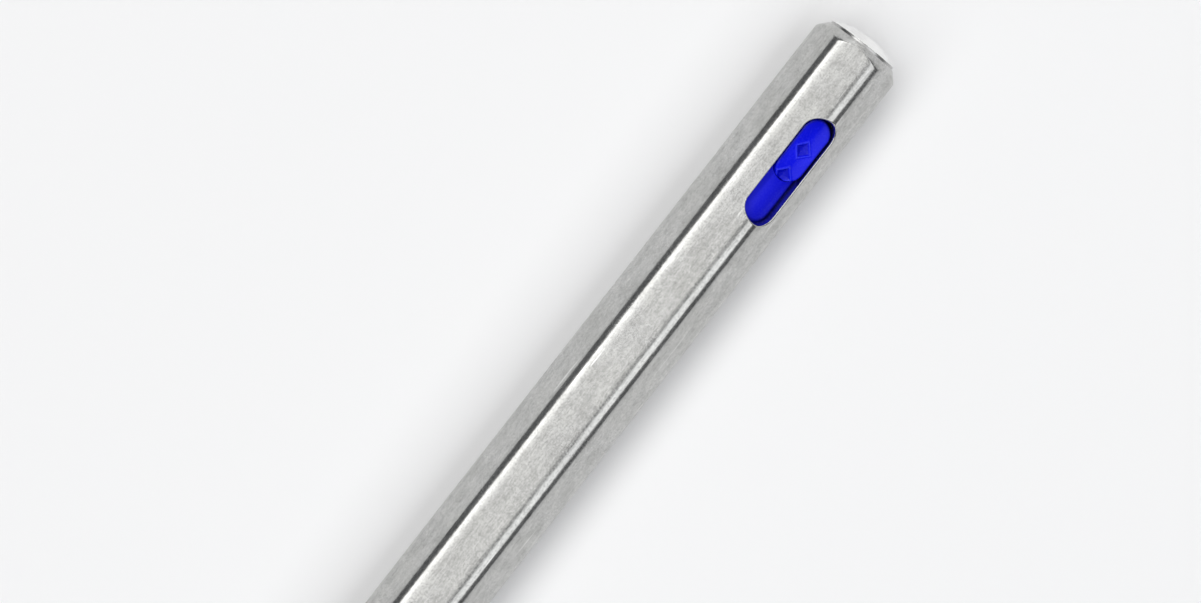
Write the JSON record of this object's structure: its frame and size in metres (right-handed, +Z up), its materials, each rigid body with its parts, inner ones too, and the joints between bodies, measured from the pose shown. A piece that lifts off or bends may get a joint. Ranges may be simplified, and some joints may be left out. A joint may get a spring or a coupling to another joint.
{
  "type": "retractable ballpoint pen",
  "caption": "Hexagonal aluminium ballpoint pen whose blue thumb slider runs in a slot near the rear end and pushes the sprung refill out of a conical nose.",
  "frame": {"origin": "centre of the pen's bounding box in X and Y, on the surface it lies on", "axes": "+X along the pen towards the writing tip, +Z up, square to the top flat of the hexagon; the slider's slot is on the upper corner towards +Y"},
  "size_m": [0.14, 0.0116, 0.0106],
  "materials": {
    "barrel_aluminium": "satin anodised, fine grain along the pen",
    "cap_metal": "turned and polished",
    "ring_dark": "satin black",
    "buffer_rubber": "matt",
    "sleeve_white": "moulded acetal",
    "slider_blue": "moulded, satin gloss",
    "button_blue": "moulded, satin gloss",
    "pin_steel": "ground",
    "leaf_steel": "spring steel strip",
    "grommet_rubber": "matt",
    "spring_steel": "drawn wire",
    "seat_plastic": "moulded",
    "refill_charcoal": "extruded tube, satin",
    "ink_blue": "wet",
    "follower_grease": "wet",
    "holder_blue": "moulded, gloss",
    "tip_brass": "turned",
    "ball_carbide": "lapped",
    "insert_brass": "turned",
    "washer_dark": "satin black",
    "nose_aluminium": "turned, satin"
  },
  "bodies": {
    "barrel": {"barrel": "barrel_aluminium", "rear_cap": "cap_metal", "cap_ring": "ring_dark", "slider_buffer": "buffer_rubber", "guide_sleeve": "sleeve_white", "return_spring": "spring_steel", "spring_seat": "seat_plastic", "thread_insert": "insert_brass"},
    "slider": {"slider_carriage": "slider_blue", "pivot_pin": "pin_steel", "leaf_spring": "leaf_steel", "refill_grommet": "grommet_rubber", "refill_tube": "refill_charcoal", "ink_column": "ink_blue", "ink_follower": "follower_grease", "tip_holder": "holder_blue", "brass_tip": "tip_brass"},
    "button": {"thumb_button": "button_blue"},
    "ball": {"tip_ball": "ball_carbide"},
    "nose_seat": {"nose_washer": "washer_dark"},
    "nose": {"nose_cone": "nose_aluminium"}
  },
  "joints": [
    {"name": "slider_slide", "type": "slide", "parent": "barrel", "child": "slider", "axis": [1, 0, 0], "range_m": [0, 0.006], "stiffness_N_per_m": 60, "springref_m": -0.006, "deforming": ["return_spring"]},
    {"name": "button_rock", "type": "hinge", "parent": "slider", "child": "button", "pos_m": [-0.05152, 0.00118, 0.00734], "axis": [0, -0.866, 0.5], "range_deg": [0, 4], "stiffness_Nm_per_rad": 0.004, "springref_deg": -2.29, "deforming": ["leaf_spring"]},
    {"name": "ball_spin", "type": "hinge", "parent": "slider", "child": "ball", "pos_m": [0.06582, 0, 0.0053], "axis": [0, 1, 0], "continuous": true},
    {"name": "nose_travel", "type": "slide", "parent": "barrel", "child": "nose_seat", "axis": [1, 0, 0], "range_m": [0, 0.00525]},
    {"name": "nose_turn", "type": "hinge", "parent": "nose_seat", "child": "nose", "pos_m": [0.0547, 0, 0.0053], "axis": [1, 0, 0], "range_deg": [0, 2520]}
  ],
  "couplings": [
    {"joint": "nose_turn", "follows": "nose_travel", "rad_per_m": 8377.6}
  ]
}
